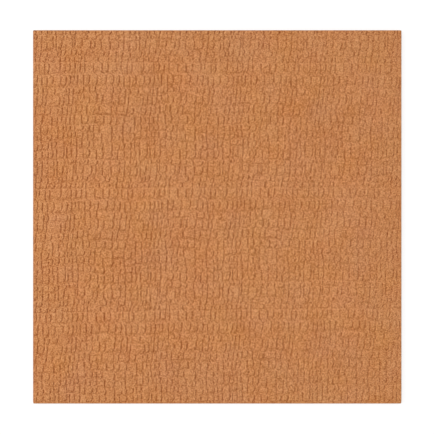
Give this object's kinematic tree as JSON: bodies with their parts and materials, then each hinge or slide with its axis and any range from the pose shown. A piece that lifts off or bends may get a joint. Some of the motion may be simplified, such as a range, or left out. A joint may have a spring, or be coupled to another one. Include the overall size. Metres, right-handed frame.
{
  "type": "cork wall panel",
  "caption": "Square thin panel of pressed agglomerated cork with a fine upright bark-like relief on its front, glued flat to a wall edge to edge with its neighbours.",
  "frame": {"origin": "middle of the flat back face, which is glued to the wall", "axes": "+Z out of the front face, +Y up the panel as it hangs on a wall, +X to the right seen from the front"},
  "size_m": [0.3, 0.304, 0.006],
  "materials": {
    "cork": "matte"
  },
  "bodies": {
    "root": {"cork_panel": "cork"}
  },
  "joints": []
}
